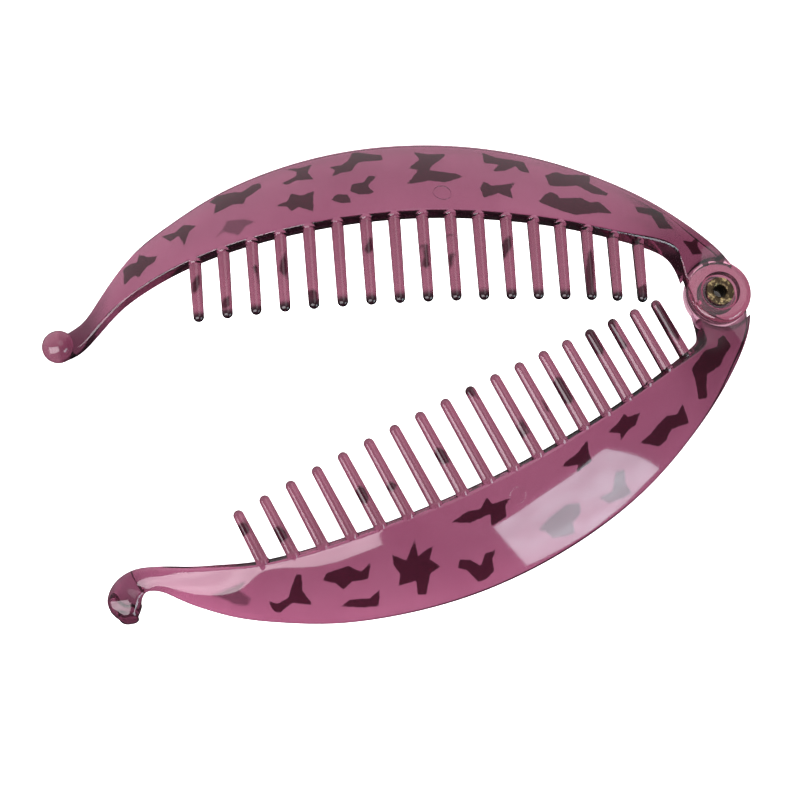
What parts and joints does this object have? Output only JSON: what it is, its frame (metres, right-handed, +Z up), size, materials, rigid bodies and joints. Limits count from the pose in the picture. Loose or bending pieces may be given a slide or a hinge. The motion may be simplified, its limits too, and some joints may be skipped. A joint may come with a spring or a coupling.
{
  "type": "banana hair clip",
  "caption": "Long open hair clip of two arched, toothed halves that swing on an eyelet at one end and snap together at the other with a ball under a hood.",
  "frame": {"origin": "middle of the footprint of the open clip, on the surface it lies on", "axes": "+X from the clasp end to the hinge end along the length, +Y from the half with the hood to the half with the ball, +Z up out of the surface"},
  "size_m": [0.1394, 0.0908, 0.0233],
  "materials": {
    "plum_plastic": "translucent mauve plastic with darker flecks, polished",
    "brass": "plain brass, slightly dull"
  },
  "bodies": {
    "hooded_half": {"lower_comb": "plum_plastic", "eyelet": "brass"},
    "ball_half": {"upper_comb": "plum_plastic"}
  },
  "joints": [
    {"name": "eyelet_hinge", "type": "hinge", "parent": "hooded_half", "child": "ball_half", "pos_m": [0.06323, 0, 0], "axis": [0, 0, -1], "range_deg": [-21.5, 60]}
  ]
}
